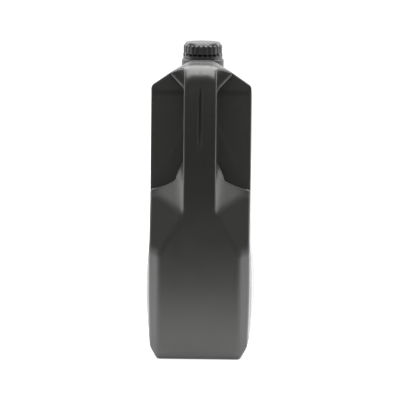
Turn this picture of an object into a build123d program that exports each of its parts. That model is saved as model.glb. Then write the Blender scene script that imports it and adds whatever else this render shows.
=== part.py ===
from build123d import *
import math
import os

# Four-litre oil jug: one blow-moulded bottle with a hollow grip on its narrow side, a screw cap
# with its liner, a tamper ring and two film labels.  Millimetres.  +X runs across the thickness,
# -Y is the grip side, +Z is up, and the origin is the centre of the footprint on the floor.

# Overall sizes
jug_width = 168.0            # grip side to far side
jug_thickness = 104.6        # across the side panels, without their belly
roof_height = 308.0          # flat top of the grip root
wall = 1.3                   # blown wall

# Side panels: a gentle belly and a slight narrowing towards the foot
belly_rise = 5.6
belly_height = 62.0          # where the belly stands out most
belly_reach_up = 62.0
belly_reach_along = 80.0
foot_narrowing = 1.8         # on each side, from the belly's shoulder down to the floor
narrowing_height = 110.0

# Edges and foot
corner_chamfer = 10.8
foot_rise_side = 12.0
foot_inset_side = 8.0
foot_rise_end = 8.0
foot_inset_end = 5.5
foot_corner_round = 2.0
foot_edge_round = 4.0
push_up_depth = 1.6          # hollow under the base
push_up_margin = 13.0        # width of the ring that stands on the floor
push_up_round = 12.0

# Shoulders: the roof falls away behind the grip root
roof_fall = 0.2              # drop for each millimetre back
crest_behind_front = 58.0
crest_round = 18.0
grip_bend = 13.0             # radius at the top front of the grip
rear_shoulder_start = 38.0   # in front of the far side
rear_shoulder_drop = 44.0
shoulder_round = 22.0
shoulder_half_widths = (8.0, 20.0, 35.0, 53.0)
shoulder_drops = (-1.5, 4.5, 14.0, 27.0)     # below the roof, at the back of the grip recess

# Grip and the recesses beside it
grip_width = 33.0
grip_depth = 23.0
ramp_toe_height = 113.0      # where each recess starts, at the corner chamfer
ramp_root_height = 153.5     # where it starts beside the grip
crest_height = 173.0         # outer end of the crest in front of the finger space
recess_depth_low = 42.5      # how far back the recess wall stands there
recess_depth_high = 55.5     # and at the shoulders
crest_knee_from_grip = 11.6  # bend in the crest, beside the grip
crest_knee_depth = 20.0
crest_knee_rise = 12.7
brow_from_grip = 23.3        # lower corner of the small facet under the crest
brow_depth = 28.2
brow_drop = 5.3
floor_rise = 4.0             # finger space floor beside the grip, above the crest's outer end
flare_heights = (0.0, 14.5, 32.0, 43.5, 55.0)     # above the ramp's root
flare_spreads = (0.86, 0.81, 0.57, 0.28, 0.03)    # sideways for each millimetre back
flare_depth = 42.0
flare_core = 7.8             # how far the web reaches into the grip, to join it
gusset_spread = 17.2         # how far the grip root spreads to each side at its back
gusset_drop_back = 13.0
gusset_drop_low = 32.0
gusset_drop_front = 5.0
gusset_front_depth = 15.0
hole_top_drop = 32.0         # below the roof
hole_round_low = 8.0
hole_round_high = 11.0

# Neck
neck_behind_front = 109.0
neck_radius = 17.0
neck_wall = 1.8
neck_root = 40.0             # how far the neck's form runs down into the jug, below the roof
collar_reach = 5.2           # collar beyond the neck
collar_edge = 1.0
collar_drop = 4.5            # collar top below the roof
bead_height = 2.5            # locking bead beyond the neck
bead_underside = 1.6         # above the collar
bead_band = 1.6
bead_slope = 2.2

# Thread
thread_pitch = 4.23
thread_height = 1.2
thread_root_width = 2.0
thread_tip_width = 1.0
thread_turns = 1.5
thread_start = 7.0           # middle of the neck's ridge above the collar
thread_sunk = 0.3            # how far a ridge is buried in its wall
mouth_land = 0.455           # plain neck above the ridge
thread_play = 0.2            # gap between the two ridges when closed
cap_thread_angle = 120.0     # where the cap's ridge starts, after the neck's
thread_clearance = 0.35      # radial gap between ridge tip and the wall it faces

# Cap, liner and tamper ring
cap_wall = 1.1
cap_top_thickness = 1.5
cap_skirt_gap = 5.8          # skirt's lower edge above the collar
cap_edge_chamfer = 1.8
cap_edge_height = 3.0
rib_count = 24
rib_height = 0.6
rib_width = 2.2
liner_thickness = 1.2
liner_gap = 0.05
band_radial_gap = 0.2
band_wall = 1.0
band_height = 3.4
band_lip_height = 1.2
band_lip_gap = 1.2
bridge_width = 1.3
bridge_thickness = 0.8
bridge_gap = 0.1

# Labels
label_length = 116.0
label_height = 110.0
label_bottom = 16.0
label_corner = 8.0
label_film = 0.15
label_glue = 0.05

# Places that follow from the sizes
half_width = jug_width / 2
half_thickness = jug_thickness / 2
half_grip = grip_width / 2
front_y = -half_width
neck_y = front_y + neck_behind_front
neck_bore_radius = neck_radius - neck_wall
collar_radius = neck_radius + collar_reach
bead_radius = neck_radius + bead_height
collar_top = roof_height - collar_drop
thread_rise = thread_pitch * thread_turns
mouth_height = collar_top + thread_start + thread_rise + thread_root_width / 2 + mouth_land

# Cutting blocks and outlines run past the jug
reach = 700.0
panel_margin = 15.0
beyond_side = half_thickness + 3 * belly_rise


def side_half_thickness(y, z, inset):
    """Half the thickness of the jug at a place on its side panel."""
    low = max(0.0, (narrowing_height - z) / narrowing_height)
    along = max(0.0, 1 - (y / belly_reach_along) ** 2)
    up = max(0.0, 1 - ((z - belly_height) / belly_reach_up) ** 2)
    return half_thickness - foot_narrowing * low**2 + belly_rise * along**1.3 * up**1.3 - inset


def panel_solid(inset):
    """Everything on the inner side of the bellied panel on the +X side."""
    columns, rows = 23, 35
    long = jug_width + 2 * panel_margin
    tall = roof_height + 2 * panel_margin
    heights = [j / (rows - 1) * tall - panel_margin for j in range(rows)]
    points = []
    for i in range(columns):
        y = (i / (columns - 1) - 0.5) * long
        points.append([Vector(side_half_thickness(y, z, inset), y, z) for z in heights])
    panel = Face.make_surface_from_array_of_points(points, tol=0.01)
    return extrude(panel, amount=2.4 * half_thickness + belly_rise, dir=(-1, 0, 0))


def panel_block(inset):
    """The space between the two bellied side panels."""
    right = panel_solid(inset)
    return right & mirror(right, about=Plane.YZ)


def rounded(points, radii):
    """A closed outline through the points, with each corner rounded by its own radius."""
    outline = FilletPolyline(*points, radius=radii, close=True)
    return make_face(outline)


def side_block(inset):
    """The jug's outline seen from its wide side."""
    rear_y = half_width
    shoulder_y = rear_y - rear_shoulder_start
    crest_y = front_y + crest_behind_front
    shoulder_z = roof_height - roof_fall * (shoulder_y - crest_y)
    points = [
        (front_y + foot_inset_end, 0),
        (front_y, foot_rise_end),
        (front_y, roof_height),
        (crest_y, roof_height),
        (shoulder_y, shoulder_z),
        (rear_y, shoulder_z - rear_shoulder_drop),
        (rear_y, foot_rise_end),
        (rear_y - foot_inset_end, 0),
    ]
    foot = [foot_corner_round, foot_edge_round]
    radii = foot + [grip_bend, crest_round, shoulder_round, shoulder_round] + foot[::-1]
    outline = Plane.YZ * rounded(points, radii)
    if inset:
        outline = offset(outline, -inset)
    return extrude(outline, amount=reach / 2, both=True)


def plan_block(inset):
    """The jug's outline seen from above, with its four corner chamfers."""
    edge = half_thickness - corner_chamfer
    slope_end = half_width - (beyond_side - edge)
    corners = [(edge, half_width), (beyond_side, slope_end), (beyond_side, -slope_end), (edge, -half_width)]
    points = corners + [(-x, y) for x, y in reversed(corners)]
    outline = make_face(Polyline(*points, close=True))
    if inset:
        outline = offset(outline, -inset, kind=Kind.INTERSECTION)
    return extrude(outline, amount=reach, both=True)


def roof_block(inset, fall):
    """Everything under the shoulders, which drop by the fall for each millimetre back."""
    back_y = front_y + recess_depth_high
    run = shoulder_half_widths[3] - shoulder_half_widths[2]
    last_slope = (shoulder_drops[3] - shoulder_drops[2]) / run
    edge_drop = shoulder_drops[3] + last_slope * (beyond_side - shoulder_half_widths[3])
    profile = [(x, roof_height - drop) for x, drop in zip(shoulder_half_widths, shoulder_drops)]
    profile.append((beyond_side, roof_height - edge_drop))
    profile.append((beyond_side, -reach / 2))
    points = profile + [(-x, z) for x, z in reversed(profile)]
    outline = make_face(Polyline(*points, close=True))
    if inset:
        outline = offset(outline, -inset, kind=Kind.INTERSECTION)
    upright = Plane(origin=(0, back_y, 0), x_dir=(1, 0, 0), z_dir=(0, -1, 0)) * outline
    return extrude(upright, amount=reach / 2, dir=(0, -1, fall), both=True)


def foot_block(inset):
    """Everything above the floor and inside the side chamfers of the foot."""
    start_x = half_thickness - foot_narrowing - foot_inset_side
    chamfer_end = (beyond_side - start_x) * foot_rise_side / foot_inset_side
    points = [(start_x, 0), (beyond_side, chamfer_end), (beyond_side, reach / 2)]
    points = points + [(-x, z) for x, z in reversed(points)]
    outline = make_face(Polyline(*points, close=True))
    if inset:
        outline = offset(outline, -inset, kind=Kind.INTERSECTION)
    return extrude(Plane.XZ * outline, amount=reach / 2, both=True)


def half_space(point, normal, grow):
    """A large block on the side that the normal points to, moved back by a distance."""
    facing = Vector(*normal).normalized()
    start = Vector(*point) - facing * grow
    block = Box(reach, reach, reach, align=(Align.CENTER, Align.CENTER, Align.MIN))
    return Plane(origin=start, z_dir=facing) * block


def through(a, b, c, towards):
    """The normal of the plane through three points, turned towards a direction."""
    normal = (Vector(*b) - Vector(*a)).cross(Vector(*c) - Vector(*a))
    return normal if normal.dot(Vector(*towards)) > 0 else normal * -1


def crest_points():
    """Corners of the facets beside the grip's root, on the +X side."""
    toe = Vector(half_thickness - corner_chamfer, front_y, ramp_toe_height)
    root = Vector(half_grip, front_y, ramp_root_height)
    tail = Vector(half_thickness, front_y + recess_depth_low, crest_height)
    knee_x = half_grip + crest_knee_from_grip
    knee = Vector(knee_x, front_y + crest_knee_depth, crest_height + crest_knee_rise)
    brow = Vector(half_grip + brow_from_grip, front_y + brow_depth, crest_height - brow_drop)
    inner = Vector(half_grip, front_y + recess_depth_low, crest_height + floor_rise)
    return toe, root, tail, knee, brow, inner


def recess_wall(grow):
    """Everything in front of the leaning wall behind the grip."""
    rise = roof_height - gusset_drop_back - crest_height
    run = recess_depth_high - recess_depth_low
    return half_space((0, front_y + recess_depth_low, crest_height), (0, -rise, run), grow)


def gusset_space(grow):
    """Everything beside and under the sloping root of the grip's upper end, on the +X side."""
    back = (half_grip + gusset_spread, front_y + recess_depth_high, roof_height - gusset_drop_back)
    low = (half_grip, front_y + recess_depth_high, roof_height - gusset_drop_low)
    front = (half_grip, front_y + gusset_front_depth, roof_height - gusset_drop_front)
    return half_space(back, through(back, low, front, (1, -1, -1)), grow)


def ramp_space(grow):
    """The space beside the grip, above the long facet that leads up from the corner, on the +X side."""
    toe, root, tail = crest_points()[:3]
    space = half_space((half_grip, 0, 0), (1, 0, 0), grow)
    space &= recess_wall(grow)
    space &= gusset_space(grow)
    space &= half_space(toe, through(toe, root, tail, (1, -1, 0.5)), grow)
    return space


def finger_space(grow):
    """The space behind the crest, on the +X side."""
    tail, knee, brow, inner = crest_points()[2:]
    space = half_space((half_grip, 0, 0), (1, 0, 0), grow)
    space &= recess_wall(grow)
    space &= gusset_space(grow)
    space &= half_space(knee, (0, 1, 0), grow)
    space &= half_space(tail, through(tail, knee, inner, (0, 0, 1)), grow)
    return space


def crest_block(inset):
    """The small facet under the crest and what lies behind it, on the +X side."""
    tail, knee, brow, inner = crest_points()[2:]
    block = half_space(tail, through(tail, knee, brow, (-1, 1, -0.3)), -inset)
    block &= half_space(tail, through(tail, knee, inner, (0, 0, -1)), -inset)
    block &= half_space((half_grip - 2 * wall, 0, 0), (1, 0, 0), 0)
    return block


def flare(inset):
    """The twisted web that spreads from the grip's front edge, on the +X side."""
    sections = []
    for height, spread in zip(flare_heights, flare_spreads):
        start = half_grip - inset * math.hypot(1, spread)
        end = start + spread * flare_depth
        back_y = front_y + flare_depth
        core = half_grip - flare_core
        corners = [(start, front_y), (end, back_y), (core, back_y), (core, front_y)]
        sections.append(Pos(0, 0, ramp_root_height + height) * make_face(Polyline(*corners, close=True)))
    return loft(sections)


def finger_hole(grow):
    """The hole behind the grip, which shares its floor and back with the spaces beside it."""
    tail, knee, brow, inner = crest_points()[2:]
    lean = (recess_depth_high - recess_depth_low) / (roof_height - gusset_drop_back - crest_height)
    floor = through(tail, knee, inner, (0, 0, 1))
    front = front_y + grip_depth
    front_low_z = inner.Z - (front - inner.Y) * floor.Y / floor.Z
    top_z = roof_height - hole_top_drop
    back_low = inner.Y + lean * (inner.Z - crest_height)
    back_high = inner.Y + lean * (top_z - crest_height)
    points = [(front, front_low_z), (back_low, inner.Z), (back_high, top_z), (front, top_z)]
    radii = [hole_round_low, hole_round_low, hole_round_high, hole_round_high]
    outline = Plane.YZ * rounded(points, radii)
    if grow:
        outline = offset(outline, grow)
    return extrude(outline, amount=reach / 2, both=True)


def push_up_pocket(grow):
    """The shallow hollow under the base."""
    long = jug_width - 2 * (foot_inset_end + push_up_margin) + 2 * grow
    broad = 2 * (half_thickness - foot_narrowing - foot_inset_side - push_up_margin) + 2 * grow
    outline = RectangleRounded(broad, long, push_up_round)
    return extrude(outline, amount=push_up_depth + grow)


def jug_form(inset):
    """The blown body without its neck, drawn in by a distance all over."""
    form = panel_block(inset) & side_block(inset)
    form &= plan_block(inset)
    form &= roof_block(inset, 0)
    form &= roof_block(inset, roof_fall)
    form &= foot_block(inset)
    buttress = form & (flare(inset) + crest_block(inset))
    spaces = ramp_space(inset)
    form -= spaces
    form -= mirror(spaces, about=Plane.YZ)
    buttress -= finger_space(inset)
    form += buttress
    form += mirror(buttress, about=Plane.YZ)
    form -= finger_space(inset)
    form -= mirror(finger_space(inset), about=Plane.YZ)
    form -= finger_hole(inset)
    form -= push_up_pocket(inset)
    return form


def around_neck(points):
    """A turned solid about the neck's axis, from an outline of radius and height."""
    outline = Plane.XZ * make_face(Polyline(*points, close=True))
    return Pos(0, neck_y, 0) * revolve(outline, Axis.Z)


def neck_outside():
    """Collar, locking bead and the cylinder that carries the thread."""
    base = roof_height - neck_root
    bead_bottom = collar_top + bead_underside
    return around_neck(
        [
            (0, base),
            (collar_radius, base),
            (collar_radius, collar_top - collar_edge),
            (collar_radius - collar_edge, collar_top),
            (neck_radius, collar_top),
            (neck_radius, bead_bottom),
            (bead_radius, bead_bottom),
            (bead_radius, bead_bottom + bead_band),
            (neck_radius, bead_bottom + bead_band + bead_slope),
            (neck_radius, mouth_height),
            (0, mouth_height),
        ]
    )


def neck_inside():
    """The bore, which widens under the collar."""
    base = roof_height - neck_root - wall
    return around_neck(
        [
            (0, base),
            (collar_radius - wall, base),
            (collar_radius - wall, collar_top - 2 * wall),
            (neck_bore_radius, collar_top - wall),
            (neck_bore_radius, mouth_height + 1),
            (0, mouth_height + 1),
        ]
    )


def thread_ridge(root_radius, outward, start_height, start_angle):
    """A screw ridge on a cylinder: outward is 1 on the neck and -1 inside the cap."""
    path = Helix(pitch=thread_pitch, height=thread_rise, radius=root_radius)
    root = root_radius - outward * thread_sunk
    tip = root_radius + outward * thread_height
    half_root, half_tip = thread_root_width / 2, thread_tip_width / 2
    section = make_face(
        Polyline((root, -half_root), (tip, -half_tip), (tip, half_tip), (root, half_root), close=True)
    )
    ridge = sweep(Plane.XZ * section, path=path, is_frenet=True)
    return Pos(0, neck_y, start_height) * Rot(0, 0, start_angle) * ridge


def bottle_body():
    """The blown bottle, hollow to the tip of its grip."""
    outside = jug_form(0) + neck_outside()
    inside = jug_form(wall) + neck_inside()
    ridge = thread_ridge(neck_radius, 1, collar_top + thread_start, 0)
    return outside - inside + ridge


def screw_cap():
    """The ribbed cap, screwed down on its liner."""
    inner_radius = neck_radius + thread_height + thread_clearance
    outer_radius = inner_radius + cap_wall
    rib_radius = outer_radius + rib_height
    skirt_z = collar_top + cap_skirt_gap
    ceiling_z = mouth_height + liner_gap + liner_thickness
    top_z = ceiling_z + cap_top_thickness
    edge_z = top_z - cap_edge_height
    top_radius = outer_radius - cap_edge_chamfer
    cup = around_neck(
        [
            (0, top_z),
            (top_radius, top_z),
            (outer_radius, edge_z),
            (outer_radius, skirt_z),
            (inner_radius, skirt_z),
            (inner_radius, ceiling_z),
            (0, ceiling_z),
        ]
    )
    rib_zone = around_neck(
        [
            (inner_radius + cap_wall / 2, skirt_z),
            (rib_radius, skirt_z),
            (rib_radius, edge_z - rib_height),
            (outer_radius, edge_z),
            (inner_radius + cap_wall / 2, edge_z),
        ]
    )
    rib = Box(rib_radius, rib_width, top_z - skirt_z, align=(Align.MIN, Align.CENTER, Align.MIN))
    ribs = PolarLocations(0, rib_count) * rib
    cup += rib_zone & (Pos(0, neck_y, skirt_z) * Compound(ribs))
    slope = (thread_root_width - thread_tip_width) / 2 / thread_height
    ridge_gap = (thread_root_width + thread_tip_width) / 2 - thread_clearance * slope + thread_play
    climb = thread_pitch * cap_thread_angle / 360
    start_z = collar_top + thread_start + climb - ridge_gap
    return cup + thread_ridge(inner_radius, -1, start_z, cap_thread_angle)


def cap_liner():
    """The sealing disc under the cap's top."""
    radius = neck_radius + thread_height + thread_clearance - liner_gap
    disc = Cylinder(radius, liner_thickness, align=(Align.CENTER, Align.CENTER, Align.MIN))
    return Pos(0, neck_y, mouth_height + liner_gap) * disc


def tamper_band():
    """The ring that stays behind on the neck, with the stubs of its bridges."""
    inner_radius = bead_radius + band_radial_gap
    outer_radius = inner_radius + band_wall
    lip_radius = neck_radius + band_lip_gap
    ring_top = collar_top + band_height
    bridge_top = collar_top + cap_skirt_gap - bridge_gap
    ring = around_neck(
        [
            (lip_radius, collar_top),
            (outer_radius, collar_top),
            (outer_radius, ring_top),
            (inner_radius, ring_top),
            (inner_radius, collar_top + band_lip_height),
            (lip_radius, collar_top + band_lip_height),
        ]
    )
    middle = (inner_radius + outer_radius) / 2
    overlap = 0.2
    bridge = Box(
        bridge_thickness,
        bridge_width,
        bridge_top - ring_top + overlap,
        align=(Align.CENTER, Align.CENTER, Align.MIN),
    )
    bridges = PolarLocations(middle, rib_count) * bridge
    return ring + Pos(0, neck_y, ring_top - overlap) * Compound(bridges)


def label(side):
    """A film on one side panel; side is 1 for +X and -1 for -X."""
    outline = Plane.YZ * Pos(0, label_bottom + label_height / 2) * RectangleRounded(
        label_length, label_height, label_corner
    )
    block = extrude(outline, amount=half_thickness + 2 * belly_rise)
    film = (block & panel_solid(-label_glue - label_film)) - panel_solid(-label_glue)
    return film if side > 0 else mirror(film, about=Plane.YZ)


def write(name, shape):
    """One STEP file for each piece."""
    export_step(shape, os.path.join("parts", name + ".step"))


os.makedirs("parts", exist_ok=True)
write("bottle_body", bottle_body())
write("screw_cap", screw_cap())
write("cap_liner", cap_liner())
write("tamper_band", tamper_band())
write("front_label", label(1))
write("back_label", label(-1))
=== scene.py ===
"""Motor oil bottle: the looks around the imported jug, in metres, in the frame of the CAD part."""

import math

import bmesh
import bpy
import numpy as np
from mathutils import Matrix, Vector


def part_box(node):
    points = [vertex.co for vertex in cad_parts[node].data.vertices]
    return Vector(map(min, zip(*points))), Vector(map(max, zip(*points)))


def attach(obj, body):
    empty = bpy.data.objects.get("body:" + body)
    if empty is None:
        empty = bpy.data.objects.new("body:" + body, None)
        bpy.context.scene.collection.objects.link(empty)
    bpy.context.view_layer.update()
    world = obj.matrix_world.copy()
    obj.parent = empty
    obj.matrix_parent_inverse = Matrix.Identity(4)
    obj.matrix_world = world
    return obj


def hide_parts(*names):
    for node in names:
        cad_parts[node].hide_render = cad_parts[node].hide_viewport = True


MM = 0.001

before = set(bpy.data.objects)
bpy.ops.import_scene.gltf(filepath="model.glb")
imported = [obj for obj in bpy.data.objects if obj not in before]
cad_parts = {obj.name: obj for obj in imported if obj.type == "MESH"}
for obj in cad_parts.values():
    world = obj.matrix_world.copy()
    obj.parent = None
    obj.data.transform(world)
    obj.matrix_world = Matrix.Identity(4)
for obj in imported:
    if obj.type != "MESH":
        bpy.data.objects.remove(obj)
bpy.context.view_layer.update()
scene = bpy.context.scene


# ---------------------------------------------------------------- node helpers

def new_material(name):
    """A node material with its shader, ready for its texture nodes."""
    material = bpy.data.materials.new(name)
    material.use_nodes = True
    shader = material.node_tree.nodes["Principled BSDF"]
    return material, material.node_tree, shader


def noise(tree, scale, detail):
    """Noise in the object's own space; the scale counts features for each metre."""
    coords = tree.nodes.new("ShaderNodeTexCoord")
    texture = tree.nodes.new("ShaderNodeTexNoise")
    texture.inputs["Scale"].default_value = scale
    texture.inputs["Detail"].default_value = detail
    tree.links.new(coords.outputs["Object"], texture.inputs["Vector"])
    return texture.outputs["Fac"]


def ranged(tree, value, low, high, to_low, to_high):
    """The value carried from one range to another, held at its ends."""
    node = tree.nodes.new("ShaderNodeMapRange")
    node.inputs["From Min"].default_value = low
    node.inputs["From Max"].default_value = high
    node.inputs["To Min"].default_value = to_low
    node.inputs["To Max"].default_value = to_high
    tree.links.new(value, node.inputs["Value"])
    return node.outputs["Result"]


def combined(tree, operation, first, second):
    """Two values through one calculation."""
    node = tree.nodes.new("ShaderNodeMath")
    node.operation = operation
    tree.links.new(first, node.inputs[0])
    tree.links.new(second, node.inputs[1])
    return node.outputs["Value"]


def two_colours(tree, value, first, second):
    """A mix of two colours by a value from 0 to 1."""
    node = tree.nodes.new("ShaderNodeMix")
    node.data_type = "RGBA"
    node.inputs["A"].default_value = (*first, 1)
    node.inputs["B"].default_value = (*second, 1)
    tree.links.new(value, node.inputs["Factor"])
    return node.outputs["Result"]


def bump(tree, height, distance, below=None):
    """A bump from a height between 0 and 1; the distance is its depth in metres."""
    node = tree.nodes.new("ShaderNodeBump")
    node.inputs["Distance"].default_value = distance
    node.inputs["Strength"].default_value = 1.0
    tree.links.new(height, node.inputs["Height"])
    if below is not None:
        tree.links.new(below, node.inputs["Normal"])
    return node.outputs["Normal"]


# Features for each metre in the slow changes of colour, gloss and height
PATCH_SCALE = 28
GLOSS_SCALE = 60
RIPPLE_SCALE = 22


def moulded_plastic(
    name, dark, light, rough, worn_rough, grain, grain_depth, ripple_depth, gloss_level=0.5
):
    """Satin plastic: two close colours, a fine moulded grain and a slow unevenness of the wall."""
    material, tree, shader = new_material(name)
    shader.inputs["Specular IOR Level"].default_value = gloss_level
    patches = noise(tree, PATCH_SCALE, 2)
    tree.links.new(two_colours(tree, patches, dark, light), shader.inputs["Base Color"])
    gloss = ranged(tree, noise(tree, GLOSS_SCALE, 2), 0.0, 1.0, rough, worn_rough)
    tree.links.new(gloss, shader.inputs["Roughness"])
    slow = bump(tree, noise(tree, RIPPLE_SCALE, 1), ripple_depth)
    fine = bump(tree, noise(tree, grain, 2), grain_depth, below=slow)
    tree.links.new(fine, shader.inputs["Normal"])
    return material


# ---------------------------------------------------------------- materials

jug_plastic = moulded_plastic(
    "jug_plastic",
    dark=(0.020, 0.020, 0.0180),
    light=(0.025, 0.025, 0.0226),
    rough=0.29,
    worn_rough=0.35,
    grain=1400,
    grain_depth=0.000004,
    ripple_depth=0.0002,
    gloss_level=0.95,
)
cap_plastic = moulded_plastic(
    "cap_plastic",
    dark=(0.033, 0.033, 0.0322),
    light=(0.039, 0.039, 0.0380),
    rough=0.285,
    worn_rough=0.32,
    grain=1800,
    grain_depth=0.000003,
    ripple_depth=0.00005,
    gloss_level=1.0,
)
liner_foam = moulded_plastic(
    "liner_foam",
    dark=(0.70, 0.70, 0.67),
    light=(0.76, 0.76, 0.73),
    rough=0.75,
    worn_rough=0.85,
    grain=2500,
    grain_depth=0.00001,
    ripple_depth=0.00005,
)
label_film = moulded_plastic(
    "label_film",
    dark=(0.52, 0.53, 0.54),
    light=(0.55, 0.56, 0.57),
    rough=0.36,
    worn_rough=0.44,
    grain=1200,
    grain_depth=0.000003,
    ripple_depth=0.0001,
)


# ---------------------------------------------------------------- sizes, from the frame, in millimetres

def node_box(name):
    """Lowest and highest corner of a CAD node."""
    low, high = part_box(name)
    return Vector(low) / MM, Vector(high) / MM


body_low, body_high = node_box("bottle_body")
cap_low, cap_high = node_box("screw_cap")
liner_low, liner_high = node_box("cap_liner")
band_low, band_high = node_box("tamper_band")
label_low, label_high = node_box("front_label")

ROOF_ABOVE_COLLAR = 4.5
HALF_WIDTH = body_high.y
FRONT = body_low.y
NECK_Y = (cap_low.y + cap_high.y) / 2
COLLAR_TOP = band_low.z
MOUTH = body_high.z
ROOF = COLLAR_TOP + ROOF_ABOVE_COLLAR

# Side panels, chamfers and foot
HALF_THICKNESS = 52.3
BELLY_RISE = 5.6
BELLY_HEIGHT = 62.0
BELLY_UP = 62.0
BELLY_ALONG = 80.0
FOOT_NARROWING = 1.8
NARROWING_HEIGHT = 110.0
CHAMFER = 10.8
FOOT_SIDE_RISE, FOOT_SIDE_INSET = 12.0, 8.0
FOOT_END_RISE, FOOT_END_INSET = 8.0, 5.5
PUSH_UP_DEPTH, PUSH_UP_MARGIN, PUSH_UP_ROUND = 1.6, 13.0, 12.0

# Roof and shoulders
ROOF_FALL = 0.2
CREST_BEHIND = 58.0
ROOF_CORNERS = ((8.0, -1.5), (20.0, 4.5), (35.0, 14.0), (53.0, 27.0))
REAR_START, REAR_DROP = 38.0, 44.0

# Grip, recess and crest
HALF_GRIP = 16.5
GRIP_DEPTH = 23.0
TOE_Z, ROOT_Z, CREST_Z = 113.0, 153.5, 173.0
WALL_LOW, WALL_HIGH = 42.5, 55.5
KNEE = (HALF_GRIP + 11.6, 20.0, 185.7)
BROW = (HALF_GRIP + 23.3, 28.2, 167.7)
INNER_RISE = 4.0
FLARE_SPREAD, FLARE_HEIGHT = 0.86, 55.0
FLARE_START = 0.55
FLARE_REACH = 6.0
GUSSET_SPREAD, GUSSET_BACK, GUSSET_LOW, GUSSET_FRONT, GUSSET_DEPTH = 17.2, 13.0, 32.0, 5.0, 15.0
HOLE_TOP_DROP = 32.0

# Roundings that the blown plastic shows
EDGE_SOFT = 2.0
CORNER_SOFT = 3.0
FACET_SOFT = 1.2
GRIP_BEND = 27.0
SHOULDER_SOFT = 22.0
RECESS_SOFT = 3.0
RIM_SOFT = 2.4
FOOT_SOFT = 1.8
HOLE_SOFT = 8.0
POCKET_SOFT = 3.0

# The grip's front leans back towards its top
GRIP_LEAN = 5.0
LEAN_START, LEAN_END = 205.0, 300.0

# Pinch seam down the grip
SEAM_LOW, SEAM_HIGH = 219.0, 285.0
SEAM_FADE_LOW, SEAM_FADE_HIGH = 10.0, 5.0
SEAM_FRONT_FADE = 4.0
SEAM_HALF_WIDTH, SEAM_DEPTH = 0.6, 0.6
SEAM_LIP, SEAM_LIP_PLACE = 0.8, 1.7
PARTING_RISE, PARTING_HALF_WIDTH = 0.25, 0.7

# Skins of the blown wall and the openings in them under the neck
BLOWN_WALL = 1.3
SKIN_OPENING, SKIN_OPENING_DROP = 16.4, 20.0
CAVITY_OPENING, CAVITY_OPENING_DROP = 18.0, 40.0

# Neck, cap and ring
NECK_RADIUS, BORE_RADIUS = 17.0, 15.2
COLLAR_RADIUS, COLLAR_DEPTH = 22.2, 40.0
COLLAR_SOFT, COLLAR_BLEND = 1.6, 2.4
BEAD_RADIUS, BEAD_PLACE, BEAD_HEIGHT, BEAD_SLOPE_END = 19.5, 1.6, 1.6, 3.8
THREAD_PITCH, THREAD_TURNS = 4.23, 1.5
THREAD_HEIGHT, THREAD_ROOT, THREAD_TIP = 1.2, 2.0, 1.0
THREAD_STEPS, THREAD_RUN_OUT = 150, 14
THREAD_SUNK = 0.3
THREAD_START = COLLAR_TOP + 7.0
CAP_THREAD_ANGLE = 120.0
CAP_THREAD_START = COLLAR_TOP + 6.856
CAP_INNER, CAP_WALL = 18.55, 1.1
RIB_COUNT, RIB_HEIGHT, STEPS_PER_RIB = 24, 0.6, 14
RIB_HALF_SHARE, RIB_SHOULDER = 0.52, 0.16
LINER_DENT = 0.12
BAND_WALL, BAND_HEIGHT, BAND_FLOOR = 1.0, 3.4, 1.2
BAND_PLAY, BAND_LIP = 0.2, 1.2
BRIDGE_HALF_WIDTH, BRIDGE_HALF_DEPTH = 0.65, 0.4
NECK_SIDES, LINER_SIDES = 144, 96

# Labels
LABEL_THICKNESS = 0.22
LABEL_CORNER = 8.0
LABEL_COLUMNS, LABEL_ROWS = 58, 56


# ---------------------------------------------------------------- distance field of the jug

def both(a, b, soft=0.0):
    """Where both fields are inside, with the edge between them rounded."""
    sharp = np.maximum(a, b)
    if soft == 0:
        return sharp
    near = np.maximum(soft - np.abs(a - b), 0) / soft
    return sharp + near**2 * soft / 4


def either(a, b, soft=0.0):
    """Where one field or the other is inside, with the corner between them filled."""
    return -both(-a, -b, soft)


def all_of(fields, soft=0.0):
    """Where every field is inside."""
    result = fields[0]
    for field in fields[1:]:
        result = both(result, field, soft)
    return result


def plane_field(x, y, z, a, b, c, out):
    """Distance in front of the plane through three points; out points away from the kept side."""
    a, b, c, out = Vector(a), Vector(b), Vector(c), Vector(out)
    normal = (b - a).cross(c - a).normalized()
    if normal.dot(out) < 0:
        normal = -normal
    return (x - a.x) * normal.x + (y - a.y) * normal.y + (z - a.z) * normal.z


def panel(y, z):
    """Half the thickness of the jug on its side panels."""
    low = np.maximum(0, (NARROWING_HEIGHT - z) / NARROWING_HEIGHT)
    along = np.maximum(0, 1 - (y / BELLY_ALONG) ** 2)
    up = np.maximum(0, 1 - ((z - BELLY_HEIGHT) / BELLY_UP) ** 2)
    return HALF_THICKNESS - FOOT_NARROWING * low**2 + BELLY_RISE * along**1.3 * up**1.3


def roof_field(x, y, z):
    """The shoulders: level over the grip root, then falling to the back."""
    slopes = [(0.0, ROOF, 0.0)]
    for (x0, drop0), (x1, drop1) in zip(ROOF_CORNERS[:-1], ROOF_CORNERS[1:]):
        slope = (drop1 - drop0) / (x1 - x0)
        slopes.append((x0, ROOF - drop0, slope))
    level = [(z - top + slope * (x - x0)) / math.hypot(1, slope) for x0, top, slope in slopes]
    fall = ROOF_FALL * (y - FRONT - CREST_BEHIND)
    falling = [(z - top + slope * (x - x0) + fall) / math.hypot(1, slope) for x0, top, slope in slopes]
    return both(all_of(level, EDGE_SOFT), all_of(falling, EDGE_SOFT), CORNER_SOFT)


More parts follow.
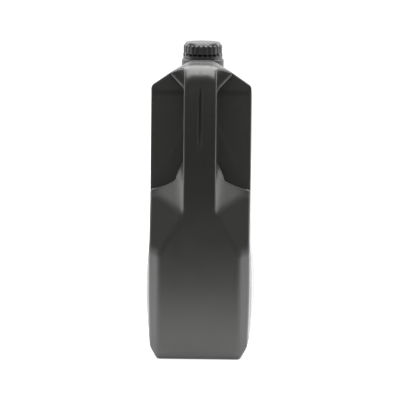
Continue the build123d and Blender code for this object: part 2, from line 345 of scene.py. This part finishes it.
def outer_form(x, y, z):
    """The jug before its recesses."""
    shoulder_y = HALF_WIDTH - REAR_START
    shoulder_z = ROOF - ROOF_FALL * (shoulder_y - FRONT - CREST_BEHIND)
    steep = math.hypot(REAR_START, REAR_DROP)
    rear_slope = ((y - shoulder_y) * REAR_DROP + (z - shoulder_z) * REAR_START) / steep
    ends_y = np.abs(y)
    chamfer = (x + ends_y - (HALF_THICKNESS + HALF_WIDTH - CHAMFER)) / math.sqrt(2)
    foot_x = HALF_THICKNESS - FOOT_NARROWING - FOOT_SIDE_INSET
    side_run = FOOT_SIDE_INSET / FOOT_SIDE_RISE
    end_run = FOOT_END_INSET / FOOT_END_RISE
    foot_side = (x - foot_x - z * side_run) / math.hypot(1, side_run)
    foot_end = (ends_y - (HALF_WIDTH - FOOT_END_INSET) - z * end_run) / math.hypot(1, end_run)
    roof = both(roof_field(x, y, z), rear_slope, SHOULDER_SOFT)
    lean = GRIP_LEAN * np.clip((z - LEAN_START) / (LEAN_END - LEAN_START), 0, 1) ** 2
    top = both(both(roof, FRONT + lean - y, GRIP_BEND), y - HALF_WIDTH, SHOULDER_SOFT)
    walls = both(both(x - panel(y, z), chamfer, EDGE_SOFT), top, CORNER_SOFT)
    foot = both(both(foot_side, foot_end, EDGE_SOFT), -z, FOOT_SOFT)
    return both(walls, foot, FOOT_SOFT)


def recess_wall(y, z):
    """Distance behind the leaning wall at the back of the recesses."""
    lean = (WALL_HIGH - WALL_LOW) / (ROOF - GUSSET_BACK - CREST_Z)
    return (y - FRONT - WALL_LOW - lean * (z - CREST_Z)) / math.hypot(1, lean)


def jug_field(x_signed, y, z):
    """Distance outside the blown jug, in millimetres."""
    x = np.abs(x_signed)
    toe = (HALF_THICKNESS - CHAMFER, FRONT, TOE_Z)
    root = (HALF_GRIP, FRONT, ROOT_Z)
    tail = (HALF_THICKNESS, FRONT + WALL_LOW, CREST_Z)
    knee = (KNEE[0], FRONT + KNEE[1], KNEE[2])
    brow = (BROW[0], FRONT + BROW[1], BROW[2])
    inner = (HALF_GRIP, FRONT + WALL_LOW, CREST_Z + INNER_RISE)
    gusset_back = (HALF_GRIP + GUSSET_SPREAD, FRONT + WALL_HIGH, ROOF - GUSSET_BACK)
    gusset_low = (HALF_GRIP, FRONT + WALL_HIGH, ROOF - GUSSET_LOW)
    gusset_front = (HALF_GRIP, FRONT + GUSSET_DEPTH, ROOF - GUSSET_FRONT)

    body = outer_form(x, y, z)
    wall = recess_wall(y, z)
    gusset = plane_field(x, y, z, gusset_back, gusset_low, gusset_front, (-1, 1, 1))
    beside = all_of([HALF_GRIP - x, wall, gusset], RECESS_SOFT)
    ramp = plane_field(x, y, z, toe, root, tail, (-1, 1, -0.5))
    depth = y - FRONT
    climb = np.clip((z - ROOT_Z) / FLARE_HEIGHT, 0, 1)
    spread = FLARE_SPREAD * np.cos(climb * math.pi / 2)
    full_depth = KNEE[1] + (KNEE[2] - z) * (BROW[1] - KNEE[1]) / (KNEE[2] - BROW[2])
    share = depth / np.clip(full_depth, KNEE[1] - FLARE_REACH, BROW[1] + FLARE_REACH)
    opening = spread * (FLARE_START + (1 - FLARE_START) * share)
    flare = (x - HALF_GRIP - depth * opening) / np.hypot(1, opening)
    ledge = plane_field(x, y, z, tail, knee, inner, (0, 0, 1))
    crest = both(plane_field(x, y, z, tail, knee, brow, (1, -1, 0.3)), ledge, FACET_SOFT)
    hollow = all_of([beside, ramp, -either(flare, crest, FACET_SOFT)], FACET_SOFT)
    form = both(body, -hollow, RIM_SOFT)

    pocket = both(wall, -ledge, POCKET_SOFT)
    fingers = all_of([pocket, HALF_GRIP - x, gusset, FRONT + KNEE[1] - y], RECESS_SOFT)
    form = both(form, -fingers, RIM_SOFT)
    hole_top = z - (ROOF - HOLE_TOP_DROP)
    hole = all_of([pocket, FRONT + GRIP_DEPTH - y, hole_top], HOLE_SOFT)
    form = both(form, -hole, CORNER_SOFT)
    return both(form, -push_up(x, y, z), EDGE_SOFT)


def push_up(x, y, z):
    """The shallow hollow under the base, with rounded corners."""
    half_long = HALF_WIDTH - FOOT_END_INSET - PUSH_UP_MARGIN
    half_broad = HALF_THICKNESS - FOOT_NARROWING - FOOT_SIDE_INSET - PUSH_UP_MARGIN
    return all_of([x - half_broad, np.abs(y) - half_long, z - PUSH_UP_DEPTH], PUSH_UP_ROUND / 4)


def with_details(x, y, z):
    """The jug with its collar and the pinch seam over the grip."""
    form = jug_field(x, y, z)
    radius = np.hypot(x, y - NECK_Y)
    collar = both(radius - COLLAR_RADIUS, z - COLLAR_TOP, COLLAR_SOFT)
    collar = both(collar, ROOF - COLLAR_DEPTH - z)
    form = either(form, collar, COLLAR_BLEND)
    in_front = np.clip((FRONT + GRIP_DEPTH - SEAM_FRONT_FADE - y) / SEAM_FRONT_FADE, 0, 1)
    from_low = np.clip((z - SEAM_LOW) / SEAM_FADE_LOW, 0, 1)
    from_high = np.clip((SEAM_HIGH - z) / SEAM_FADE_HIGH, 0, 1)
    groove = SEAM_DEPTH * np.exp(-((x / SEAM_HALF_WIDTH) ** 2))
    lips = SEAM_LIP * np.exp(-((np.abs(x) - SEAM_LIP_PLACE) ** 2))
    above_seam = np.clip((z - SEAM_HIGH) / SEAM_FADE_HIGH, 0, 1)
    parting = PARTING_RISE * np.exp(-((x / PARTING_HALF_WIDTH) ** 2)) * above_seam
    return form + from_low * from_high * in_front * (groove - lips) - parting


# ---------------------------------------------------------------- meshing

def surface_net(field, axes):
    """Points and quads of the field's surface on a grid with the given axes."""
    grid = np.meshgrid(*axes, indexing="ij")
    values = field(*grid)
    inside = values < 0
    cells = tuple(n - 1 for n in values.shape)
    total = np.zeros((cells[0] * cells[1] * cells[2], 3))
    count = np.zeros(len(total))
    rings = []
    for axis in range(3):
        low = tuple(slice(0, -1) if k == axis else slice(1, -1) for k in range(3))
        high = tuple(slice(1, None) if k == axis else slice(1, -1) for k in range(3))
        edges = np.argwhere(inside[low] != inside[high])
        edges += [0 if k == axis else 1 for k in range(3)]
        step = np.eye(3, dtype=int)[axis]
        start = values[tuple(edges.T)]
        stop = values[tuple((edges + step).T)]
        share = start / (start - stop)
        place = np.stack([axes[k][edges[:, k]] for k in range(3)], 1)
        run = axes[axis][edges[:, axis] + 1] - axes[axis][edges[:, axis]]
        place[:, axis] += share * run
        u, v = [np.eye(3, dtype=int)[(axis + k) % 3] for k in (1, 2)]
        around = [edges, edges - u, edges - u - v, edges - v]
        ids = [np.ravel_multi_index(tuple(cell.T), cells) for cell in around]
        for cell_ids in ids:
            for k in range(3):
                total[:, k] += np.bincount(cell_ids, place[:, k], len(total))
            count += np.bincount(cell_ids, minlength=len(total))
        ring = np.stack(ids, 1)
        outward = start < stop
        ring[~outward] = ring[~outward][:, ::-1]
        rings.append(ring)
    used = count > 0
    number = np.cumsum(used) - 1
    points = total[used] / count[used, None]
    return points, number[np.concatenate(rings)]


def slope_of(field, points, step=0.15):
    """The field's gradient at each point."""
    parts = []
    for k in range(3):
        shift = np.zeros(3)
        shift[k] = step
        ahead = field(*(points + shift).T)
        behind = field(*(points - shift).T)
        parts.append((ahead - behind) / (2 * step))
    return np.stack(parts, 1)


def settle(field, points, rounds=3, longest=0.8, flattest=0.1):
    """Points moved onto the field's surface, inside the CAD body's box, and the normals there."""
    for _ in range(rounds):
        slope = slope_of(field, points)
        length = np.maximum((slope**2).sum(1), flattest)
        move = field(*points.T) / length
        points = points - np.clip(move, -longest, longest)[:, None] * slope
    slope = slope_of(field, points)
    points = np.clip(points, np.array(body_low), np.array(body_high))
    return points, slope / np.linalg.norm(slope, axis=1, keepdims=True)


def mesh_object(name, points, faces, material, normals=None):
    """An object from points in millimetres, shaded smooth."""
    mesh = bpy.data.meshes.new(name)
    mesh.from_pydata((np.asarray(points) * MM).tolist(), [], [list(map(int, f)) for f in faces])
    mesh.shade_smooth()
    if normals is not None:
        mesh.normals_split_custom_set_from_vertices(normals.tolist())
    mesh.materials.append(material)
    mesh.validate()
    obj = bpy.data.objects.new(name, mesh)
    scene.collection.objects.link(obj)
    return obj


def spaced(low, high, pitch):
    """Grid lines from low to high, about a pitch apart."""
    return np.linspace(low, high, int(round((high - low) / pitch)) + 1)


def joined(*stretches):
    """Grid lines over several stretches, each with its own pitch: (start, end, pitch)."""
    lines = [spaced(*stretch) for stretch in stretches]
    return np.concatenate([lines[0]] + [line[1:] for line in lines[1:]])


def skin_axes():
    """Grid lines for the outer skin, closer where the jug has its small shapes."""
    reach = body_high.x + 3
    across = joined((-reach, -4, 1.8), (-4, 4, 0.4), (4, reach, 1.8))
    along = joined((FRONT - 3, -26, 1.4), (-26, HALF_WIDTH + 3, 2.4))
    up = joined((-3, 16, 1.5), (16, 106, 2.4), (106, 215, 1.5), (215, 262, 2.2), (262, ROOF + 4, 1.5))
    return across, along, up


def cavity_axes():
    """Grid lines for the inner skin, which is hardly seen."""
    reach = body_high.x + 4
    across = spaced(-reach, reach, 4.0)
    along = spaced(FRONT - 4, HALF_WIDTH + 4, 4.0)
    up = spaced(-4, ROOF + 4, 4.0)
    return across, along, up


def kept_faces(points, faces, radius, above):
    """Faces outside a round opening about the neck's axis."""
    centres = points[faces].mean(1)
    in_hole = (np.hypot(centres[:, 0], centres[:, 1] - NECK_Y) < radius) & (centres[:, 2] > above)
    return faces[~in_hole]


def turned(profile, sides, shape=None):
    """Points and quads of a closed outline turned about the neck's axis.

    The outline lists (radius, height, rib), where rib says how far the ribs stand out there.
    """
    points = []
    for i in range(sides):
        angle = 2 * math.pi * i / sides
        for radius, height, rib in profile:
            r = radius + (shape(angle) * rib if shape else 0)
            points.append((r * math.sin(angle), NECK_Y + r * math.cos(angle), height))
    n = len(profile)
    faces = []
    for i in range(sides):
        j = (i + 1) % sides
        for k in range(n):
            m = (k + 1) % n
            faces.append((i * n + k, i * n + m, j * n + m, j * n + k))
    return points, faces


def rounded_outline(corners, soft, steps=3):
    """An outline of (radius, height, rib) with each corner softened by a short curve."""
    outline = []
    n = len(corners)
    for k, (r, z, rib) in enumerate(corners):
        before = (corners[k - 1], range(steps, 0, -1))
        after = (corners[(k + 1) % n], range(0, steps + 1))
        for towards, order in (before, after):
            length = math.hypot(towards[0] - r, towards[1] - z)
            reach = min(soft, length * 0.4)
            for step in order:
                share = step / steps * reach / length
                outline.append((r + (towards[0] - r) * share, z + (towards[1] - z) * share, rib))
    smooth = []
    count = len(outline)
    for k in range(count):
        last, here, following = outline[k - 1], outline[k], outline[(k + 1) % count]
        smooth.append(tuple((last[c] + 2 * here[c] + following[c]) / 4 for c in range(3)))
    return smooth


def thread_strip(radius, outward, start_z, start_angle):
    """A screw ridge with its ends drawn down into the wall."""
    points, faces = [], []
    for i in range(THREAD_STEPS + 1):
        share = i / THREAD_STEPS
        angle = math.radians(start_angle) + share * THREAD_TURNS * 2 * math.pi
        z = start_z + share * THREAD_TURNS * THREAD_PITCH
        rise = min(1, share * THREAD_RUN_OUT, (1 - share) * THREAD_RUN_OUT)
        tip = radius + outward * (THREAD_HEIGHT * rise - 0.1 * (1 - rise))
        root = radius - outward * THREAD_SUNK
        section = (
            (root, -THREAD_ROOT / 2),
            (tip, -THREAD_TIP / 2),
            (tip, THREAD_TIP / 2),
            (root, THREAD_ROOT / 2),
        )
        for r, dz in section:
            points.append((r * math.cos(angle), NECK_Y + r * math.sin(angle), z + dz))
    for i in range(THREAD_STEPS):
        for k in range(4):
            m = (k + 1) % 4
            quad = (4 * i + k, 4 * i + m, 4 * i + 4 + m, 4 * i + 4 + k)
            faces.append(quad if outward > 0 else quad[::-1])
    ends = [(3, 2, 1, 0), tuple(4 * THREAD_STEPS + k for k in range(4))]
    faces += ends if outward > 0 else [end[::-1] for end in ends]
    return points, faces


def merged(*parts):
    """Several lists of points and faces as one."""
    points, faces = [], []
    for some_points, some_faces in parts:
        offset = len(points)
        points += [tuple(p) for p in some_points]
        faces += [tuple(int(k) + offset for k in f) for f in some_faces]
    return points, faces


def sharp_by_angle(obj, degrees):
    """Smooth shading that breaks at steep edges."""
    build = bmesh.new()
    build.from_mesh(obj.data)
    bmesh.ops.recalc_face_normals(build, faces=build.faces)
    for edge in build.edges:
        if len(edge.link_faces) == 2:
            edge.smooth = edge.calc_face_angle() < math.radians(degrees)
    build.to_mesh(obj.data)
    build.free()


# ---------------------------------------------------------------- the bottle

def jug_walls():
    """Outer and inner skin of the blown jug, open under the neck."""
    points, faces = surface_net(with_details, skin_axes())
    points, normals = settle(with_details, points)
    faces = kept_faces(points, faces, SKIN_OPENING, ROOF - SKIN_OPENING_DROP)

    def cavity(x, y, z):
        """Distance outside the jug's inner skin."""
        return jug_field(x, y, z) + BLOWN_WALL

    inner_points, inner_faces = surface_net(cavity, cavity_axes())
    inner_points, inner_normals = settle(cavity, inner_points)
    cavity_top = ROOF - CAVITY_OPENING_DROP
    inner_faces = kept_faces(inner_points, inner_faces, CAVITY_OPENING, cavity_top)[:, ::-1]
    all_points = np.concatenate([points, inner_points])
    all_faces = np.concatenate([faces, inner_faces + len(points)])
    all_normals = np.concatenate([normals, -inner_normals])
    return all_points, all_faces, all_normals


def neck_sleeve():
    """The neck with its bead and thread, and the bore down into the jug."""
    bead = COLLAR_TOP + BEAD_PLACE
    corners = [
        (NECK_RADIUS, COLLAR_TOP - 1.0, 0),
        (NECK_RADIUS, bead, 0),
        (BEAD_RADIUS, bead, 0),
        (BEAD_RADIUS, bead + BEAD_HEIGHT, 0),
        (NECK_RADIUS, bead + BEAD_SLOPE_END, 0),
        (NECK_RADIUS, MOUTH, 0),
        (BORE_RADIUS, MOUTH, 0),
        (BORE_RADIUS, COLLAR_TOP - 3.0, 0),
        (COLLAR_RADIUS - 2.0, COLLAR_TOP - 8.0, 0),
        (COLLAR_RADIUS - 1.3, COLLAR_TOP - 8.0, 0),
        (COLLAR_RADIUS - 1.3, COLLAR_TOP - 1.0, 0),
    ]
    sleeve = turned(rounded_outline(corners, 0.5), NECK_SIDES)
    return merged(sleeve, thread_strip(NECK_RADIUS, 1, THREAD_START, 0))


def make_bottle():
    """The whole bottle as one piece in place of the CAD node."""
    points, faces, normals = jug_walls()
    jug = mesh_object("bottle", points, faces, jug_plastic, normals)
    neck = mesh_object("bottle_neck", *neck_sleeve(), jug_plastic)
    sharp_by_angle(neck, 40)
    for piece in (jug, neck):
        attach(piece, "bottle")
    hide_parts("bottle_body")


# ---------------------------------------------------------------- cap, liner and ring

def rib_shape(angle):
    """How far a rib stands out at an angle, from 0 to 1, with soft shoulders."""
    turn = (angle * RIB_COUNT / (2 * math.pi) + 0.25) % 1.0
    away = abs(turn - 0.5) * 2
    return min(1.0, max(0.0, (RIB_HALF_SHARE - away) / RIB_SHOULDER + 0.5))


def make_cap():
    """The ribbed cap with its chamfered top and inside thread."""
    outer = CAP_INNER + CAP_WALL
    skirt, top = cap_low.z, cap_high.z
    ceiling = liner_high.z
    edge = top - 3.0
    corners = [
        (0.01, top, 0),
        (outer - 3.4, top, 0),
        (outer - 1.8, top - 0.25, 0),
        (outer - 0.55, edge + 0.9, 0),
        (outer, edge - 0.6, 1),
        (outer, skirt + 0.3, 1),
        (outer - 0.3, skirt, 0.6),
        (CAP_INNER, skirt, 0),
        (CAP_INNER, ceiling, 0),
        (0.01, ceiling, 0),
    ]

    def rib(angle):
        """The rib's height at an angle."""
        return RIB_HEIGHT * rib_shape(angle)

    shell = turned(rounded_outline(corners, 0.45), RIB_COUNT * STEPS_PER_RIB, rib)
    thread = thread_strip(CAP_INNER, -1, CAP_THREAD_START, CAP_THREAD_ANGLE)
    cap = mesh_object("cap", *merged(shell, thread), cap_plastic)
    sharp_by_angle(cap, 42)
    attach(cap, "cap")
    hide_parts("screw_cap")


def make_liner():
    """The sealing disc, with the ring that the mouth presses into it."""
    radius = liner_high.x
    low, high = liner_low.z, liner_high.z
    corners = [
        (0.01, low, 0),
        (BORE_RADIUS - 0.5, low, 0),
        (BORE_RADIUS, low + LINER_DENT, 0),
        (NECK_RADIUS, low + LINER_DENT, 0),
        (NECK_RADIUS + 0.4, low, 0),
        (radius, low, 0),
        (radius, high - 0.02, 0),
        (0.01, high - 0.02, 0),
    ]
    liner = mesh_object("liner", *turned(rounded_outline(corners, 0.2), LINER_SIDES), liner_foam)
    sharp_by_angle(liner, 40)
    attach(liner, "liner")
    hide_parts("cap_liner")


def make_band():
    """The tamper ring with the stubs of its bridges."""
    inner = BEAD_RADIUS + BAND_PLAY
    outer = inner + BAND_WALL
    bottom, ring_top = COLLAR_TOP, COLLAR_TOP + BAND_HEIGHT
    corners = [
        (NECK_RADIUS + BAND_LIP, bottom, 0),
        (outer, bottom, 0),
        (outer, ring_top, 0),
        (inner, ring_top, 0),
        (inner, bottom + BAND_FLOOR, 0),
        (NECK_RADIUS + BAND_LIP, bottom + BAND_FLOOR, 0),
    ]
    parts = [turned(rounded_outline(corners, 0.25), NECK_SIDES)]
    middle = (inner + outer) / 2
    for i in range(RIB_COUNT):
        angle = 2 * math.pi * i / RIB_COUNT
        parts.append(bridge(angle, middle, ring_top - 0.2, band_high.z))
    band = mesh_object("tamper_ring", *merged(*parts), cap_plastic)
    sharp_by_angle(band, 40)
    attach(band, "bottle")
    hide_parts("tamper_band")


def bridge(angle, radius, low, high):
    """One small pillar between the ring and the cap, thinner at its broken top."""
    points = []
    for z, scale in ((low, 1.15), (low + 0.5, 1.0), (high - 0.3, 0.8), (high, 0.7)):
        for across, out in ((-1, -1), (1, -1), (1, 1), (-1, 1)):
            r = radius + out * BRIDGE_HALF_DEPTH * scale
            side = across * BRIDGE_HALF_WIDTH * scale
            points.append((
                r * math.sin(angle) + side * math.cos(angle),
                NECK_Y + r * math.cos(angle) - side * math.sin(angle),
                z,
            ))
    faces = [(3, 2, 1, 0), (12, 13, 14, 15)]
    for level in range(3):
        for k in range(4):
            m = (k + 1) % 4
            faces.append((4 * level + k, 4 * level + m, 4 * level + 4 + m, 4 * level + 4 + k))
    return points, faces


# ---------------------------------------------------------------- labels

def make_label(name, node, side):
    """A plain film with rounded corners on one bellied side panel."""
    low_y, high_y = label_low.y, label_high.y
    low_z, high_z = label_low.z, label_high.z
    middle_y, middle_z = (low_y + high_y) / 2, (low_z + high_z) / 2
    columns, rows = LABEL_COLUMNS, LABEL_ROWS
    points = []
    for lift in (LABEL_THICKNESS, 0.0):
        for i in range(columns + 1):
            for j in range(rows + 1):
                y = low_y + (high_y - low_y) * i / columns
                z = low_z + (high_z - low_z) * j / rows
                dy = max(0, abs(y - middle_y) - (high_y - low_y) / 2 + LABEL_CORNER)
                dz = max(0, abs(z - middle_z) - (high_z - low_z) / 2 + LABEL_CORNER)
                shrink = max(dy, dz) / math.hypot(dy, dz) if min(dy, dz) > 0 else 1.0
                y -= math.copysign(dy * (1 - shrink), y - middle_y)
                z -= math.copysign(dz * (1 - shrink), z - middle_z)
                x = float(panel(np.float64(y), np.float64(z))) + lift
                points.append((side * x, y, z))
    sheet = (columns + 1) * (rows + 1)

    def at(i, j, back=0):
        """Number of a point of the film."""
        return back * sheet + i * (rows + 1) + j

    faces = []
    for i in range(columns):
        for j in range(rows):
            quad = (at(i, j), at(i + 1, j), at(i + 1, j + 1), at(i, j + 1))
            faces.append(quad)
            faces.append(tuple(k + sheet for k in quad[::-1]))
    border = [(i, 0) for i in range(columns)] + [(columns, j) for j in range(rows)]
    border += [(i, rows) for i in range(columns, 0, -1)] + [(0, j) for j in range(rows, 0, -1)]
    for (i, j), (m, n) in zip(border, border[1:] + border[:1]):
        faces.append((at(i, j), at(i, j, 1), at(m, n, 1), at(m, n)))
    label = mesh_object(name, points, faces, label_film)
    sharp_by_angle(label, 40)
    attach(label, "bottle")
    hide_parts(node)


make_bottle()
make_cap()
make_liner()
make_band()
make_label("label_right", "front_label", 1)
make_label("label_left", "back_label", -1)


# ---------------------------------------------------------------- stage, lights and camera

FLOOR_SIZE = 14.0
FLOOR_WHITE = 0.8
FLOOR_EDGE, FLOOR_FADE = -0.35, 0.1
PAPER = (0.86, 0.86, 0.86)
UNLIT_PAPER = (0.02, 0.02, 0.02)
DARK_SIDE, BACKDROP = 0.34, 1.25
OVERHEAD_GAP = 0.3
SIDE_GLOW = 1.35
OVERHEAD_SIZE, OVERHEAD_WATTS = 1.4, 29
SOFTBOX_SIZE, SOFTBOX_WATTS = 0.45, 3.5

CAMERA_DISTANCE = 3.6
CAMERA_TURN = math.radians(1.3)
CAMERA_HEIGHT = math.radians(8.6)
CAMERA_ROLL = math.radians(0.45)
AIM = Vector((-0.0012, 0, 0.156))
SENSOR_WIDTH = 36.0
PIXELS_ACROSS = 400
MM_PER_PIXEL = 1.056


def plane(name, size):
    """A flat square for the floor."""
    mesh = bpy.data.meshes.new(name)
    build = bmesh.new()
    bmesh.ops.create_grid(build, x_segments=1, y_segments=1, size=size / 2)
    build.to_mesh(mesh)
    build.free()
    obj = bpy.data.objects.new(name, mesh)
    scene.collection.objects.link(obj)
    return obj


def area_light(name, place, target, size, watts):
    """A soft square lamp that faces its target."""
    data = bpy.data.lights.new(name, "AREA")
    data.energy = watts
    data.shape = "RECTANGLE"
    data.size = size
    data.size_y = size
    obj = bpy.data.objects.new(name, data)
    obj.location = place
    obj.rotation_euler = (Vector(target) - Vector(place)).to_track_quat("-Z", "Y").to_euler()
    scene.collection.objects.link(obj)


def make_floor():
    """A pale matt floor that shows white to the camera.

    In front of FLOOR_EDGE it gives almost no light back, as where a paper sweep ends in a dark room.
    """
    floor = plane("floor", FLOOR_SIZE)
    paint, tree, shader = new_material("floor_paint")
    path = tree.nodes.new("ShaderNodeLightPath")
    coords = tree.nodes.new("ShaderNodeTexCoord")
    split = tree.nodes.new("ShaderNodeSeparateXYZ")
    tree.links.new(coords.outputs["Object"], split.inputs["Vector"])
    paper = ranged(tree, split.outputs["Y"], FLOOR_EDGE - FLOOR_FADE, FLOOR_EDGE, 0.0, 1.0)
    shown = combined(tree, "MAXIMUM", paper, path.outputs["Is Camera Ray"])
    tree.links.new(two_colours(tree, shown, UNLIT_PAPER, PAPER), shader.inputs["Base Color"])
    shader.inputs["Roughness"].default_value = 0.7
    shader.inputs["Emission Color"].default_value = (1, 1, 1, 1)
    mirrored = combined(tree, "MULTIPLY", path.outputs["Is Glossy Ray"], paper)
    glow = combined(tree, "MAXIMUM", path.outputs["Is Camera Ray"], mirrored)
    lift = ranged(tree, glow, 0, 1, 0, FLOOR_WHITE)
    tree.links.new(lift, shader.inputs["Emission Strength"])
    floor.data.materials.append(paint)


def make_world():
    """A studio that is white behind the jug, darker overhead and dark on the camera's side."""
    world = bpy.data.worlds.new("studio")
    world.use_nodes = True
    scene.world = world
    tree = world.node_tree
    background = tree.nodes["Background"]
    background.inputs["Color"].default_value = (1, 1, 1, 1)
    coords = tree.nodes.new("ShaderNodeTexCoord")
    split = tree.nodes.new("ShaderNodeSeparateXYZ")
    tree.links.new(coords.outputs["Generated"], split.inputs["Vector"])
    behind = ranged(tree, split.outputs["Y"], 0.2, 0.45, DARK_SIDE, BACKDROP)
    upwards = ranged(tree, split.outputs["Z"], 0.2, 0.45, 1.0, OVERHEAD_GAP)
    beside = ranged(tree, split.outputs["Y"], -0.3, 0.0, 0.0, 1.0)
    low = ranged(tree, split.outputs["Z"], 0.1, 0.3, SIDE_GLOW, 0.0)
    backdrop = combined(tree, "MULTIPLY", behind, upwards)
    horizon = combined(tree, "MULTIPLY", beside, low)
    studio_light = combined(tree, "MAXIMUM", backdrop, horizon)
    choice = tree.nodes.new("ShaderNodeMix")
    choice.inputs["B"].default_value = 1.0
    path = tree.nodes.new("ShaderNodeLightPath")
    tree.links.new(path.outputs["Is Camera Ray"], choice.inputs["Factor"])
    tree.links.new(studio_light, choice.inputs["A"])
    tree.links.new(choice.outputs["Result"], background.inputs["Strength"])


def make_camera():
    """A camera a little above the jug's middle and a little off its middle plane."""
    away = Vector((
        math.sin(CAMERA_TURN) * math.cos(CAMERA_HEIGHT),
        -math.cos(CAMERA_TURN) * math.cos(CAMERA_HEIGHT),
        math.sin(CAMERA_HEIGHT),
    ))
    data = bpy.data.cameras.new("camera")
    data.sensor_width = SENSOR_WIDTH
    data.lens = CAMERA_DISTANCE / (MM_PER_PIXEL * MM * PIXELS_ACROSS) * SENSOR_WIDTH
    data.clip_end = 50.0
    camera = bpy.data.objects.new("camera", data)
    camera.location = AIM + CAMERA_DISTANCE * away
    camera.rotation_euler = away.to_track_quat("Z", "Y").to_euler()
    camera.rotation_euler.rotate_axis("Z", CAMERA_ROLL)
    scene.collection.objects.link(camera)
    return camera


make_floor()
make_world()
area_light("overhead", (0, 0.1, 1.3), (0, 0.05, 0), OVERHEAD_SIZE, OVERHEAD_WATTS)
for side in (-1, 1):
    place = (side * 0.6, 0.75, 0.9)
    area_light(f"rear_softbox_{side}", place, (0, -0.03, 0.18), SOFTBOX_SIZE, SOFTBOX_WATTS)
scene.camera = make_camera()

scene.view_settings.view_transform = "Standard"
